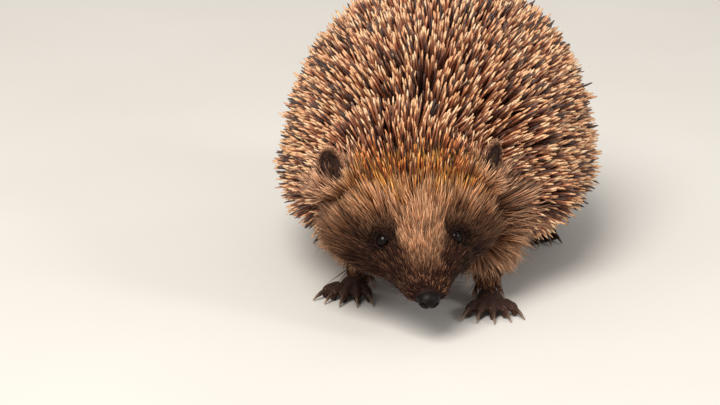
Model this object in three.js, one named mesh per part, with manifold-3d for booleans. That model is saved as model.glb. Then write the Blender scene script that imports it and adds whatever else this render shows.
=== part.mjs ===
// A life-size European hedgehog standing on all fours, its head lowered and turned a little to its left.
// Millimetres, +Z up. The animal faces -Y and its left side is +X. The floor is z = 0.
// Every form is the outline of the coat: out to the tips of the spines on the back, and of the fur elsewhere.
// The body is modelled whole and parted with thin cuts.
import * as THREE from "three";
import { mergeVertices } from "three/addons/utils/BufferGeometryUtils.js";
import Module from "manifold-3d";

const wasm = await Module();
wasm.setup();

// ---- Driving dimensions ----
const GAP = 0.4; // free space between neighbouring pieces
const FAR = 400; // longer than the animal in any direction

// Where the head hangs: the midpoint between the ears, then nose down and turned to the left.
const HEAD = { x: -5, y: -64, z: 47.5, pitchDeg: 32, yawDeg: 16, noseToEars: 57 };

// Sections of the trunk from the nape to the rump. top and bottom are heights above the floor.
const TRUNK = [
  { y: -80, halfWidth: 38, top: 80, bottom: 29 }, // nape
  { y: -48, halfWidth: 50, top: 96, bottom: 20 }, // shoulders
  { y: -12, halfWidth: 58.5, top: 108, bottom: 15.5 }, // ribs
  { y: 26, halfWidth: 61.5, top: 113, bottom: 15 }, // middle of the back
  { y: 64, halfWidth: 57.5, top: 106, bottom: 14.5 }, // loins
  { y: 92, halfWidth: 46, top: 90, bottom: 15 }, // rump
  { y: 108, halfWidth: 35, top: 74, bottom: 19 }, // fringe over the tail
];
// Sections of the head, by the distance behind the tip of the muzzle and measured from the head's axis.
const SKULL = [
  { behind: 2.5, halfWidth: 5.4, up: 4.6, down: 3.9 }, // muzzle behind the nose pad
  { behind: 9, halfWidth: 9.2, up: 6.4, down: 5.5 }, // whisker pads
  { behind: 18, halfWidth: 15.6, up: 9.2, down: 9.0 }, // corner of the mouth
  { behind: 29, halfWidth: 24.4, up: 13.6, down: 14.2 }, // eyes
  { behind: 41, halfWidth: 30.8, up: 20.0, down: 19.0 }, // cheeks
  { behind: 53, halfWidth: 32.6, up: 26.0, down: 22.5 }, // brow
  { behind: 65, halfWidth: 34.5, up: 31.5, down: 25.0 }, // crown spines, just behind the ears
  { behind: 78, halfWidth: 38.0, up: 33.0, down: 26.0 }, // inside the neck
];

const EYE = { behind: 28.4, side: 13.8, up: 5.2, radius: 3.1 };
const SOCKET = { radius: 5.4, out: 5.4 }; // the bare hollow round each eye, and how far out its centre lies
const NOSE = { width: 8.6, height: 7.0, length: 7.4, up: 0.6, behind: 2.1 };
const NOSTRIL = { radius: 1.15, side: 2.35, spread: 1.6, inside: 1.5, outside: 4.6 };
const EAR = {
  behind: 54.5, side: 31.4, up: 17,
  height: 18, width: 13, thick: 5.2,
  pitchDeg: -22, leanDeg: 22, turnDeg: 40,
  hollow: { width: 0.76, height: 0.84, forward: 0.42 }, // shares of the ear's own sizes
};
// Where the cuts lie: behind the tip of the muzzle, below the head's axis, and along the body.
const CUTS = { snoutBehind: 20, mouthDown: 4.4, neckBehind: 60, trunkY: -42, trunkLeanDeg: 18 };
// The hem of the spiny mantle along the flank: distance along the body, height above the floor.
const HEM = [[-140, 52], [-50, 40], [-20, 33], [20, 30], [60, 32], [90, 39], [150, 52]];

// How the sections are filled out: below 1 they grow squarer, above 1 more pointed.
const CORNERS = { dome: 1.03, underside: 0.66, face: 0.94 };
// The trunk is widest this far up its height, where the fringe stands out by a share of its width.
const FLANK = { widestAt: 0.36, fringe: 0.045, fringeDepth: 0.25 };
// The share of each form's length over which its ends round off.
const ENDS = { nape: 0.22, rump: 0.26, muzzle: 0.1, crown: 0.12 };

const TAIL = { y: 96, z: 25, length: 19, root: 5.5, tip: 2.4, dropDeg: 38 };

// Legs. side, y and kneeZ place the hip; toes fan out by spreadDeg each from the foot's own heading.
const FORE = {
  name: "fore",
  side: 27, y: -46, kneeZ: 27, hipSpread: 3, thigh: 11.5, ankle: 6.2,
  palmLength: 17, palmWidth: 14.5, palmHeight: 7.6,
  toeLength: 7.6, toeRadius: 2.2, spreadDeg: 15, claw: 6.6, turnOutDeg: 9,
};
const HIND = {
  name: "hind",
  side: 35, y: 50, kneeZ: 30, hipSpread: 2, thigh: 14, ankle: 6.4,
  palmLength: 25, palmWidth: 13.5, palmHeight: 7.8,
  toeLength: 8.4, toeRadius: 2.2, spreadDeg: 11, claw: 6.4, turnOutDeg: 13,
};
const CLAW = { root: 1.15, tip: 0.4, from: 0.66 }; // radii, and where along the toe it starts
// How far each foot is set forward (-) or back (+) of its hip.
const STEP = { fore: { left: -9, right: 5 }, hind: { left: 4, right: -8 } };

// ---- Colours of the pieces ----
const finish = (color, roughness) => new THREE.MeshStandardMaterial({ color, roughness, metalness: 0 });
const FINISH = {
  spines: () => finish(0x8c5e45, 0.55),
  fur: () => finish(0x825440, 0.85),
  mask: () => finish(0x3f2a21, 0.85),
  skin: () => finish(0x3a2a24, 0.7),
  nose: () => finish(0x15100e, 0.3),
  eye: () => finish(0x080606, 0.08),
};

// ---- Making closed forms ----
const radians = THREE.MathUtils.degToRad;

// A smooth curve through one size of a row of sections, read at t from 0 to 1 along the row.
function sizeAlong(sections, key, t) {
  const curve = new THREE.SplineCurve(sections.map((s, i) => new THREE.Vector2(i, s[key])));
  return curve.getPoint(t).y;
}

// A unit sphere whose poles lie on the long axis, reshaped ring by ring.
// place(t, across, above) gives the point at t along the axis; the other two go from -1 to 1 round the ring.
function shapedForm(rings, sides, place) {
  const form = new THREE.SphereGeometry(1, sides, rings);
  const at = form.attributes.position;
  const normals = new THREE.Vector3();
  for (let i = 0; i < at.count; i++) {
    normals.fromBufferAttribute(at, i);
    const polar = Math.acos(THREE.MathUtils.clamp(normals.y, -1, 1));
    const radial = Math.hypot(normals.x, normals.z);
    const across = radial > 1e-6 ? normals.x / radial : 0;
    const above = radial > 1e-6 ? -normals.z / radial : 0;
    const point = place(polar / Math.PI, across, above, radial > 1e-6);
    at.setXYZ(i, point.x, point.y, point.z);
  }
  return form;
}

// How round an end is: 0 at the very end, 1 from `reach` of the way in.
const endRound = (t, reach) => (t < reach ? Math.sqrt(1 - (1 - t / reach) ** 2) : 1);
// A circle's sine or cosine pushed outwards, which fills out the corners of a section.
const fuller = (v, power) => Math.sign(v) * Math.abs(v) ** power;

// The trunk, enlarged all round by `extra`.
function trunkForm(extra = 0) {
  return shapedForm(18, 28, (t, across, above, onRing) => {
    const swell = onRing ? endRound(t, ENDS.nape) * endRound(1 - t, ENDS.rump) : 0;
    const top = sizeAlong(TRUNK, "top", t);
    const bottom = sizeAlong(TRUNK, "bottom", t);
    const widest = bottom + (top - bottom) * FLANK.widestAt;
    const power = above > 0 ? CORNERS.dome : CORNERS.underside;
    const reach = above > 0 ? top - widest : widest - bottom;
    const fringe = 1 + FLANK.fringe * Math.exp(-((above / FLANK.fringeDepth) ** 2));
    return new THREE.Vector3(
      swell * (sizeAlong(TRUNK, "halfWidth", t) * fringe + extra) * fuller(across, power),
      sizeAlong(TRUNK, "y", t) + extra * (2 * t - 1),
      widest + swell * (reach + extra) * fuller(above, power),
    );
  });
}

// The head in its own frame, enlarged all round by `extra`.
// The axis is Y, its nose end points to -Y, and y = 0 is level with the ears.
function headForm(extra = 0) {
  return shapedForm(18, 24, (t, across, above, onRing) => {
    const swell = onRing ? endRound(t, ENDS.muzzle) * endRound(1 - t, ENDS.crown) : 0;
    const reach = above > 0 ? sizeAlong(SKULL, "up", t) : sizeAlong(SKULL, "down", t);
    return new THREE.Vector3(
      swell * (sizeAlong(SKULL, "halfWidth", t) + extra) * fuller(across, CORNERS.face),
      sizeAlong(SKULL, "behind", t) - HEAD.noseToEars + extra * (2 * t - 1),
      swell * (reach + extra) * fuller(above, CORNERS.face),
    );
  });
}

// A rod with round ends from one point to another, tapering from radius a to radius b.
function taperedRod(from, to, a, b, sides, steps) {
  const axis = new THREE.Vector3().subVectors(to, from);
  const length = axis.length();
  const turns = Array.from({ length: steps + 1 }, (_, i) => (i / steps) * (Math.PI / 2));
  const profile = [
    ...turns.map((turn) => new THREE.Vector2(a * Math.sin(turn), -a * Math.cos(turn))),
    ...turns.map((turn) => new THREE.Vector2(b * Math.cos(turn), length + b * Math.sin(turn))),
  ];
  profile[profile.length - 1].x = 0;
  const rod = new THREE.LatheGeometry(profile, sides);
  const turned = new THREE.Quaternion().setFromUnitVectors(new THREE.Vector3(0, 1, 0), axis.normalize());
  return rod.applyQuaternion(turned).translate(from.x, from.y, from.z);
}

// A ball of the given radius or, with the radius 0.5, one to be scaled to its width, length and height.
const ball = (radius = 0.5) => new THREE.SphereGeometry(radius, 14, 10);
// Half of space: the side of a plane through the origin that `way` (a unit vector) points to.
const halfSpace = (way) =>
  new THREE.BoxGeometry(FAR, FAR, FAR).translate((way.x * FAR) / 2, (way.y * FAR) / 2, (way.z * FAR) / 2);
const AXIS = { x: new THREE.Vector3(1, 0, 0), y: new THREE.Vector3(0, 1, 0), z: new THREE.Vector3(0, 0, 1) };

// ---- Joining and cutting ----
// The solid inside a closed surface. Faces that a pole or a seam has squeezed to nothing are left out.
function solidOf(geometry, matrix = new THREE.Matrix4()) {
  const plain = geometry.clone().applyMatrix4(matrix);
  plain.deleteAttribute("normal");
  plain.deleteAttribute("uv");
  const merged = mergeVertices(plain, 1e-3);
  const corners = merged.index.array;
  const kept = [];
  for (let i = 0; i < corners.length; i += 3) {
    const [a, b, c] = corners.slice(i, i + 3);
    if (a !== b && b !== c && a !== c) kept.push([a, b, c]);
  }
  const vertProperties = merged.attributes.position.array;
  const build = (faces) => new wasm.Manifold(new wasm.Mesh({
    numProp: 3, vertProperties, triVerts: new Uint32Array(faces.flat()),
  }));
  const made = build(kept);
  return made.volume() > 0 ? made : build(kept.map(([a, b, c]) => [a, c, b]));
}

function geometryOf(solid) {
  const made = solid.getMesh();
  const points = new Float32Array(made.numVert * 3);
  for (let i = 0; i < made.numVert; i++) {
    points.set(made.vertProperties.subarray(i * made.numProp, i * made.numProp + 3), i * 3);
  }
  const geometry = new THREE.BufferGeometry();
  geometry.setAttribute("position", new THREE.BufferAttribute(points, 3));
  geometry.setIndex(new THREE.BufferAttribute(made.triVerts, 1));
  geometry.computeVertexNormals();
  return geometry;
}

const joined = (solids) => solids.reduce((whole, next) => whole.add(next));
// The largest separate body of a solid, without the slivers that a cut may leave.
function mainBody(solid) {
  return solid.decompose().sort((a, b) => b.volume() - a.volume())[0];
}

// ---- The scene graph ----
const hedgehog = new THREE.Group();
const head = new THREE.Group();
head.position.set(HEAD.x, HEAD.y, HEAD.z);
head.rotation.set(radians(HEAD.pitchDeg), 0, radians(HEAD.yawDeg), "ZYX");
hedgehog.add(head);
hedgehog.updateMatrixWorld(true);

function add(group, name, solid, material) {
  const toGroup = group.matrixWorld.clone().invert();
  const mesh = new THREE.Mesh(geometryOf(solid).applyMatrix4(toGroup), material);
  mesh.name = name;
  group.add(mesh);
}

const inHead = (geometry) => solidOf(geometry, head.matrixWorld);
const alongHead = (behind) => behind - HEAD.noseToEars;

// ---- The body, whole ----
const skull = inHead(headForm());
const trunk = solidOf(trunkForm());
const roomForBody = joined([inHead(headForm(GAP)), solidOf(trunkForm(GAP))]);

// Eyeballs and the hollows that they sit in.
function eyeCentre(side) {
  return new THREE.Vector3(side * EYE.side, alongHead(EYE.behind), EYE.up);
}
const SIDES = { left: 1, right: -1 };
const eyes = {};
const hollows = [];
for (const [label, side] of Object.entries(SIDES)) {
  const at = eyeCentre(side);
  const outward = new THREE.Vector3(side * 0.78, -0.42, 0.46).normalize();
  const rim = at.clone().addScaledVector(outward, SOCKET.out);
  eyes[label] = inHead(ball(EYE.radius).translate(at.x, at.y, at.z));
  hollows.push(inHead(ball(EYE.radius + GAP).translate(at.x, at.y, at.z)));
  hollows.push(inHead(ball(SOCKET.radius).translate(rim.x, rim.y, rim.z)));
}

// ---- Ears: a leaning shell with a hollow front ----
function earForm(side) {
  const { width, height, thick, hollow } = EAR;
  const shell = ball().scale(width, thick, height);
  const inside = ball()
    .scale(width * hollow.width, thick, height * hollow.height)
    .translate(0, -thick * hollow.forward, 0);
  const [pitch, lean, turnOut] = [EAR.pitchDeg, side * EAR.leanDeg, side * EAR.turnDeg].map(radians);
  const turn = new THREE.Euler(pitch, lean, turnOut, "ZYX");
  const place = new THREE.Matrix4()
    .makeRotationFromEuler(turn)
    .setPosition(side * EAR.side, alongHead(EAR.behind), EAR.up)
    .premultiply(head.matrixWorld);
  return solidOf(shell, place).subtract(solidOf(inside, place));
}

// ---- Nose pad, with two nostrils ----
function noseBlank(extra = 0) {
  const pad = ball().scale(NOSE.width + extra, NOSE.length + extra, NOSE.height + extra);
  return inHead(pad.translate(0, alongHead(NOSE.behind), NOSE.up));
}

function nosePad() {
  const { radius, side: x, spread, inside, outside } = NOSTRIL;
  const nostrils = Object.values(SIDES).map((side) => {
    const inner = new THREE.Vector3(side * x, alongHead(-inside), -0.4);
    const outer = new THREE.Vector3(side * (x + spread), alongHead(-outside), -1.2);
    return inHead(taperedRod(inner, outer, radius, radius * 1.3, 7, 2));
  });
  return noseBlank().subtract(joined(nostrils));
}

// ---- Legs and paws ----
// A form along a curve: size(t) gives its half-width and half-height at t from 0 to 1.
function formAlong(curve, rings, sides, size) {
  const heading = new THREE.Vector3();
  return shapedForm(rings, sides, (t, across, above, onRing) => {
    curve.getTangent(t, heading);
    const sideways = new THREE.Vector3(-heading.y, heading.x, 0).normalize();
    const { halfWidth, halfHeight } = size(t);
    const swell = onRing ? 1 : 0;
    const point = curve.getPoint(t).addScaledVector(sideways, -across * halfWidth * swell);
    return point.add(new THREE.Vector3(0, 0, above * halfHeight * swell));
  });
}

// A toe that ends in a curved claw whose tip meets the floor.
function toeForm(leg, root, out, length) {
  const knuckle = root.clone().addScaledVector(out, length).setZ(leg.toeRadius * 1.1);
  const clawTip = knuckle.clone().addScaledVector(out, leg.claw).setZ(CLAW.tip);
  const middle = root.clone().lerp(knuckle, 0.5);
  const curve = new THREE.CatmullRomCurve3([root, middle, knuckle, clawTip]);
  const toe = formAlong(curve, 7, 6, (t) => {
    const flesh = leg.toeRadius * (1.1 - 0.25 * t);
    const claw = THREE.MathUtils.mapLinear(t, CLAW.from, 1, CLAW.root, CLAW.tip);
    const radius = t < CLAW.from - 0.05 ? flesh : claw;
    return { halfWidth: radius, halfHeight: radius };
  });
  return solidOf(toe);
}

// A foot flat on the floor, with five toes fanned out from its ball.
function pawForm(leg, side, step) {
  const facing = radians(-side * leg.turnOutDeg);
  const forward = new THREE.Vector3(-Math.sin(facing), -Math.cos(facing), 0);
  const sideways = new THREE.Vector3(Math.cos(facing), -Math.sin(facing), 0);
  const middle = leg.palmHeight * 0.46;
  const ankle = new THREE.Vector3(side * leg.side, leg.y + step, middle);
  const heel = ankle.addScaledVector(forward, -leg.ankle * 0.7);
  const front = heel.clone().addScaledVector(forward, leg.palmLength);
  const sole = formAlong(new THREE.LineCurve3(heel, front), 6, 10, (t) => {
    const round = Math.sin(Math.PI * (0.1 + 0.8 * t)) ** 0.5;
    return { halfWidth: leg.palmWidth * (0.32 + 0.16 * t) * round, halfHeight: leg.palmHeight * 0.5 * round };
  });
  const pieces = [solidOf(sole)];
  const buried = leg.palmLength * 0.22; // how far each toe starts inside the foot
  for (let toe = -2; toe <= 2; toe++) {
    const fan = facing + radians(toe * leg.spreadDeg);
    const out = new THREE.Vector3(-Math.sin(fan), -Math.cos(fan), 0);
    const shorter = 1 - Math.abs(toe) * (toe * side < 0 ? 0.14 : 0.09);
    const root = front.clone().addScaledVector(forward, -buried).setZ(leg.toeRadius * 1.3);
    root.addScaledVector(sideways, -toe * leg.palmWidth * 0.17);
    pieces.push(toeForm(leg, root, out, (leg.toeLength + buried) * shorter));
  }
  return joined(pieces);
}

// A leg from under the belly down to its toes, standing on a sole cut level with the floor.
function legForm(leg, side, step) {
  const x = side * leg.side;
  const hip = new THREE.Vector3(side * (leg.side - leg.hipSpread), leg.y, leg.kneeZ);
  const ankle = new THREE.Vector3(x, leg.y + step, leg.palmHeight * 0.7);
  const limb = solidOf(taperedRod(hip, ankle, leg.thigh, leg.ankle * 0.8, 12, 2));
  return joined([limb, pawForm(leg, side, step)]).intersect(solidOf(halfSpace(AXIS.z)));
}

// ---- Parting the body with thin cuts ----
// The side of a cut that `way` (1 or -1 along an axis) points to, half the gap away from the cut itself.
function sideOfCut(axis, way) {
  const shift = AXIS[axis].clone().multiplyScalar((way * GAP) / 2);
  return halfSpace(AXIS[axis].clone().multiplyScalar(way)).translate(shift.x, shift.y, shift.z);
}
// Ahead of (-1) or behind (1) a plane across the head, above (1) or below (-1) the mouth, and so on.
const headSide = (behind, way) => inHead(sideOfCut("y", way).translate(0, alongHead(behind), 0));
const mouthSide = (way) => inHead(sideOfCut("z", way).translate(0, 0, -CUTS.mouthDown));
const levelSide = (z, way) => solidOf(sideOfCut("z", way).translate(0, 0, z));
function trunkSide(way) {
  return solidOf(sideOfCut("y", way).rotateX(radians(CUTS.trunkLeanDeg)).translate(0, CUTS.trunkY, HEAD.z));
}
// Everything above (1) or below (-1) the hem: its line drawn out sideways.
function hemSide(way) {
  const hem = new THREE.SplineCurve(HEM.map(([y, z]) => new THREE.Vector2(y, z + (way * GAP) / 2)));
  const outline = new THREE.Shape(hem.getPoints(24));
  outline.lineTo(FAR, way * FAR);
  outline.lineTo(-FAR, way * FAR);
  const wall = new THREE.ExtrudeGeometry(outline, { depth: FAR, bevelEnabled: false });
  // The outline's x and y become the part's y and z, and its depth runs across the body.
  const turned = new THREE.Matrix4().makeBasis(AXIS.y, AXIS.z, AXIS.x);
  return solidOf(wall.translate(0, 0, -FAR / 2), turned);
}

const wholeHead = skull.intersect(headSide(CUTS.neckBehind, -1)).subtract(joined(hollows));
const roomForHead = inHead(headForm(GAP)).intersect(headSide(CUTS.neckBehind + GAP, -1));
const behindHead = joined([skull, trunk]).subtract(roomForHead);
const neck = mainBody(behindHead.intersect(trunkSide(-1)));
const torso = behindHead.intersect(trunkSide(1));
const mantle = mainBody(torso.intersect(hemSide(1)));
const belly = mainBody(torso.intersect(hemSide(-1)));

// The head parts again at the muzzle, along the closed mouth and round the nose pad.
const face = mainBody(wholeHead.intersect(headSide(CUTS.snoutBehind, 1)));
const muzzle = wholeHead.intersect(headSide(CUTS.snoutBehind, -1)).subtract(noseBlank(GAP * 2));
const snout = mainBody(muzzle.intersect(mouthSide(1)));
const jaw = mainBody(muzzle.intersect(mouthSide(-1)));

add(head, "head", face, FINISH.fur());
add(head, "snout", snout, FINISH.mask());
add(head, "jaw", jaw, FINISH.mask());
add(head, "nose", nosePad(), FINISH.nose());
for (const [label, side] of Object.entries(SIDES)) {
  add(head, `eye_${label}`, eyes[label], FINISH.eye());
  add(head, `ear_${label}`, mainBody(earForm(side).subtract(roomForBody)), FINISH.mask());
}

add(hedgehog, "neck", neck, FINISH.spines());
add(hedgehog, "mantle", mantle, FINISH.spines());

// The tail shows below the fringe at the back.
const tailAxis = new THREE.Vector3(0, Math.cos(radians(TAIL.dropDeg)), -Math.sin(radians(TAIL.dropDeg)));
const tailRoot = new THREE.Vector3(0, TAIL.y, TAIL.z);
const tailTip = tailRoot.clone().addScaledVector(tailAxis, TAIL.length);
const tail = solidOf(taperedRod(tailRoot, tailTip, TAIL.root, TAIL.tip, 12, 3)).subtract(roomForBody);
add(hedgehog, "tail", mainBody(tail), FINISH.fur());

add(hedgehog, "belly", belly, FINISH.fur());
for (const leg of [FORE, HIND]) {
  for (const [label, side] of Object.entries(SIDES)) {
    const whole = legForm(leg, side, STEP[leg.name][label]).subtract(roomForBody);
    const wrist = leg.palmHeight + 1.5; // the cut between leg and paw, just above the foot
    add(hedgehog, `${leg.name}leg_${label}`, mainBody(whole.intersect(levelSide(wrist, 1))), FINISH.fur());
    add(hedgehog, `${leg.name}paw_${label}`, mainBody(whole.intersect(levelSide(wrist, -1))), FINISH.skin());
  }
}

// ---- The part's origin: on the floor, in the middle of the animal ----
const room = new THREE.Box3().setFromObject(hedgehog, true);
const middle = room.getCenter(new THREE.Vector3());
const toOrigin = new THREE.Vector3(-middle.x, -middle.y, -room.min.z);
for (const child of hedgehog.children) child.position.add(toOrigin);

export default hedgehog;
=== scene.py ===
# A life-size European hedgehog standing low on four feet, its nose to the ground.
# Sizes in the settings are millimetres and angles are degrees; mm turns a size into Blender's metres.
import bmesh
import bpy
import math
import numpy as np
from mathutils import Euler, Matrix, Vector, kdtree


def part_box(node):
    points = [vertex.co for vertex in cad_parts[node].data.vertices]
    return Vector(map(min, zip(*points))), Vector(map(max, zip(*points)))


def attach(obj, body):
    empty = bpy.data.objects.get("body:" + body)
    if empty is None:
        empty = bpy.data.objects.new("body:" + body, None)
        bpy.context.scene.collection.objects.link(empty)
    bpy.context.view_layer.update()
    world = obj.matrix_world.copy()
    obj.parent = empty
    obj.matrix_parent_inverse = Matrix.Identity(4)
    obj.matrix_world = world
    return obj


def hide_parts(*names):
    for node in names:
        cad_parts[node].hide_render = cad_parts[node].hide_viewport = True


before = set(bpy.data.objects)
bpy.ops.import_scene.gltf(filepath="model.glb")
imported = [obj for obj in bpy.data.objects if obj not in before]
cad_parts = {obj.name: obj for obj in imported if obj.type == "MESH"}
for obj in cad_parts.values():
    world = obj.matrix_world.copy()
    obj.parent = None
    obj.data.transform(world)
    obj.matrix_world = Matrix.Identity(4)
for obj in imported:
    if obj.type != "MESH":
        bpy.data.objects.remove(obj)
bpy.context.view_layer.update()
mm = 0.001
sides = {"left": 1, "right": -1}
scene = bpy.context.scene


def unit(vectors):
    vectors = np.asarray(vectors, float)
    return vectors / np.maximum(np.linalg.norm(vectors, axis=-1, keepdims=True), 1e-9)


def fade(value, low, high):  # 0 at low and 1 at high, easing in and out; high may be the smaller
    share = np.clip((np.asarray(value, float) - low) / (high - low), 0, 1)
    return share * share * (3 - 2 * share)


def blend(share, here, there):  # here where share is 0, there where it is 1
    share = np.asarray(share, float)
    if np.ndim(here) > np.ndim(share) or np.ndim(there) > np.ndim(share):
        share = share[..., None]
    return here + (there - here) * share


def throughRow(values, t):  # a smooth curve through evenly spaced values, read at t from 0 to 1
    values = np.asarray(values, float)
    place = np.clip(t, 0, 1) * (len(values) - 1)
    first = np.minimum(place.astype(int), len(values) - 2)
    w = place - first
    before, here, there = values[np.maximum(first - 1, 0)], values[first], values[first + 1]
    after = values[np.minimum(first + 2, len(values) - 1)]
    slopeIn, slopeOut = (there - before) / 2, (after - here) / 2
    cubic = 2 * here - 2 * there + slopeIn + slopeOut
    square = -3 * here + 3 * there - 2 * slopeIn - slopeOut
    return ((cubic * w + square) * w + slopeIn) * w + here


def ripple(points, size, seed):  # a smooth uneven field of about -1 to 1, with waves of about this size
    waves = np.random.default_rng(seed)
    ways = unit(waves.normal(size=(7, 3))) * waves.uniform(0.7, 1.5, (7, 1)) * 2 * math.pi / size
    phases = waves.uniform(0, 2 * math.pi, 7)
    return np.sin(points @ ways.T + phases).mean(axis=1) * 1.9


def boxMiddle(node):
    low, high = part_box(node)
    return np.array(low + high) / 2 / mm


def linear(hexColour):  # an sRGB hex colour as linear RGBA
    channels = [int(hexColour[i:i + 2], 16) / 255 for i in (1, 3, 5)]
    return tuple(c / 12.92 if c <= 0.04045 else ((c + 0.055) / 1.055) ** 2.4 for c in channels) + (1.0,)


# The head's own frame: across to its left, backward from the nose, and up.
headPlan = {
    "pitch": 32, "yaw": 16,
    "eyeSide": 13.8, "eyeBehind": 28.4, "eyeUp": 5.2, "eyeRadius": 3.1,
    "eyeFacing": (0.42, -0.62, 0.66),
    "noseBehind": 2.1, "noseUp": 0.6, "noseRadii": (4.2, 3.7, 3.4),
}
headTurn = Euler((math.radians(headPlan["pitch"]), 0, math.radians(headPlan["yaw"])), "XYZ").to_matrix()
headAxes = np.array(headTurn).T  # rows: across, backward, up
eyesMiddle = (boxMiddle("eye_left") + boxMiddle("eye_right")) / 2
headOrigin = eyesMiddle - headPlan["eyeBehind"] * headAxes[1] - headPlan["eyeUp"] * headAxes[2]
noseInHead = np.array([0, headPlan["noseBehind"], headPlan["noseUp"]])


def toHead(points):
    return (points - headOrigin) @ headAxes.T


def fromHead(points):
    return np.asarray(points, float) @ headAxes + headOrigin


def eyeInHead(side):
    return np.array([side * headPlan["eyeSide"], headPlan["eyeBehind"], headPlan["eyeUp"]])


cameraPlan = {
    "away": 1100, "lens": 146, "sensor": 36, "azimuth": 6.5, "elevation": 16.5,
    "noseRight": 26.4, "noseBelow": 39.4,  # where the tip of the nose lies from the middle of the view
}
azimuth, elevation = math.radians(cameraPlan["azimuth"]), math.radians(cameraPlan["elevation"])
towards = np.array([
    math.sin(azimuth) * math.cos(elevation),
    -math.cos(azimuth) * math.cos(elevation),
    math.sin(elevation),
])
viewRight = np.array([math.cos(azimuth), math.sin(azimuth), 0])
viewUp = np.cross(towards, viewRight)
noseTip = fromHead(noseInHead - [0, headPlan["noseRadii"][1], 0])
target = noseTip - viewRight * cameraPlan["noseRight"] + viewUp * cameraPlan["noseBelow"]
camera = bpy.data.objects.new("camera", bpy.data.cameras.new("camera"))
camera.data.lens = cameraPlan["lens"]
camera.data.sensor_width = cameraPlan["sensor"]
camera.location = Vector(target + towards * cameraPlan["away"]) * mm
camera.rotation_mode = "QUATERNION"
camera.rotation_quaternion = Vector(-towards).to_track_quat("-Z", "Y")
scene.collection.objects.link(camera)
scene.camera = camera
print("camera: in place")


# Adds a node with its settings, sets or links its inputs, and gives one of its outputs.
def addNode(tree, kind, inputs, output=0, stops=(), **settings):
    made = tree.nodes.new("ShaderNode" + kind)
    for key, value in settings.items():
        setattr(made, key, value)
    if stops:
        elements = made.color_ramp.elements
        while len(elements) < len(stops):
            elements.new(0.5)
        for element, (at, colour) in zip(elements, stops):
            element.position = at
            element.color = linear(colour)
    for socket, value in inputs.items():
        if isinstance(value, bpy.types.NodeSocket):
            tree.links.new(value, made.inputs[socket])
        else:
            made.inputs[socket].default_value = value
    return made.outputs[output] if made.outputs else None


colourMix = {"output": 2, "data_type": "RGBA"}
colourProduct = {**colourMix, "blend_type": "MULTIPLY"}


def patternScale(size):  # the scale that sets a pattern's features this many mm apart
    return 1 / (size * mm)


def newMaterial(finish):  # finish builds the pattern's nodes and gives the inputs of the surface
    material = bpy.data.materials.new(finish.__name__)
    material.use_nodes = True
    tree = material.node_tree
    tree.nodes.clear()
    shader = addNode(tree, "BsdfPrincipled", finish(tree))
    addNode(tree, "OutputMaterial", {"Surface": shader})
    return material


def spineKeratin(tree):
    # Spine keratin: hard smooth horn, brown with a cream tip; a satin gloss runs along it.
    reads = ("along", "tint", "rust")
    along, tint, rust = (addNode(tree, "Attribute", {}, "Fac", attribute_name=name) for name in reads)
    shaft = addNode(tree, "ValToRGB", {"Fac": along}, stops=[
        (0.0, "#a07c5a"), (0.30, "#8c664e"), (0.42, "#8c5f4d"), (0.77, "#9c6c56"),
        (0.83, "#b08a70"), (0.87, "#e4caae"), (0.975, "#d8bea0"), (1.0, "#a88468"),
    ])
    # Low tints darken a spine: some spines are darker of their own, and the painted shade patches laid on
    # the spines also fall here.
    hue = addNode(tree, "ValToRGB", {"Fac": tint}, stops=[
        (0.0, "#4c3c3c"), (0.1, "#8c6c60"), (0.22, "#eec4a2"), (0.45, "#f4d2b8"),
        (0.65, "#fae6ca"), (0.85, "#fff8ea"), (1.0, "#f6cca4"),
    ])
    colour = addNode(tree, "Mix", {0: 1.0, 6: shaft, 7: hue}, **colourProduct)
    golden = addNode(tree, "Mix", {0: 1.0, 6: colour, 7: linear("#f4c68c")}, **colourProduct)
    colour = addNode(tree, "Mix", {0: rust, 6: colour, 7: golden}, **colourMix)
    return {
        "Base Color": colour, "Roughness": 0.45, "IOR": 1.55, "Specular IOR Level": 0.35,
    }


# The colours of a hair from root to tip: plain brown, and in the pale, golden and dark markings.
hairColours = {
    "brown": [(0.0, "#28100a"), (0.3, "#6c3e2a"), (0.6, "#a8724e"), (1.0, "#deb08a")],
    "pale": [(0.0, "#46281a"), (0.4, "#9c6a4e"), (0.8, "#d8a888"), (1.0, "#f0caaa")],
    "rust": [(0.0, "#200a02"), (0.35, "#6c2e0c"), (0.65, "#c87a30"), (1.0, "#ffc674")],
    "dark": [(0.0, "#120603"), (0.5, "#24100a"), (1.0, "#482a1c")],
}


def hairKeratin(tree):
    # Hair keratin: coarse guard hair, dark at the root and light at the tip; a soft broken sheen.
    reads = ("along", "tint", "pale", "rust", "dark")
    along, tint, *masks = (addNode(tree, "Attribute", {}, "Fac", attribute_name=name) for name in reads)
    colour = addNode(tree, "ValToRGB", {"Fac": along}, stops=hairColours["brown"])
    for name, mask in zip(reads[2:], masks):
        marked = addNode(tree, "ValToRGB", {"Fac": along}, stops=hairColours[name])
        colour = addNode(tree, "Mix", {0: mask, 6: colour, 7: marked}, **colourMix)
    # Tint sets each hair's brightness: its own tone, and on the forehead and crown also the painted shade of
    # darkened patches.
    value = addNode(tree, "MapRange", {"Value": tint, "To Min": 0.12, "To Max": 1.85})
    colour = addNode(tree, "HueSaturation", {"Value": value, "Color": colour})
    return {
        "Base Color": colour, "Roughness": 0.55, "IOR": 1.55, "Specular IOR Level": 0.08,
    }


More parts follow.
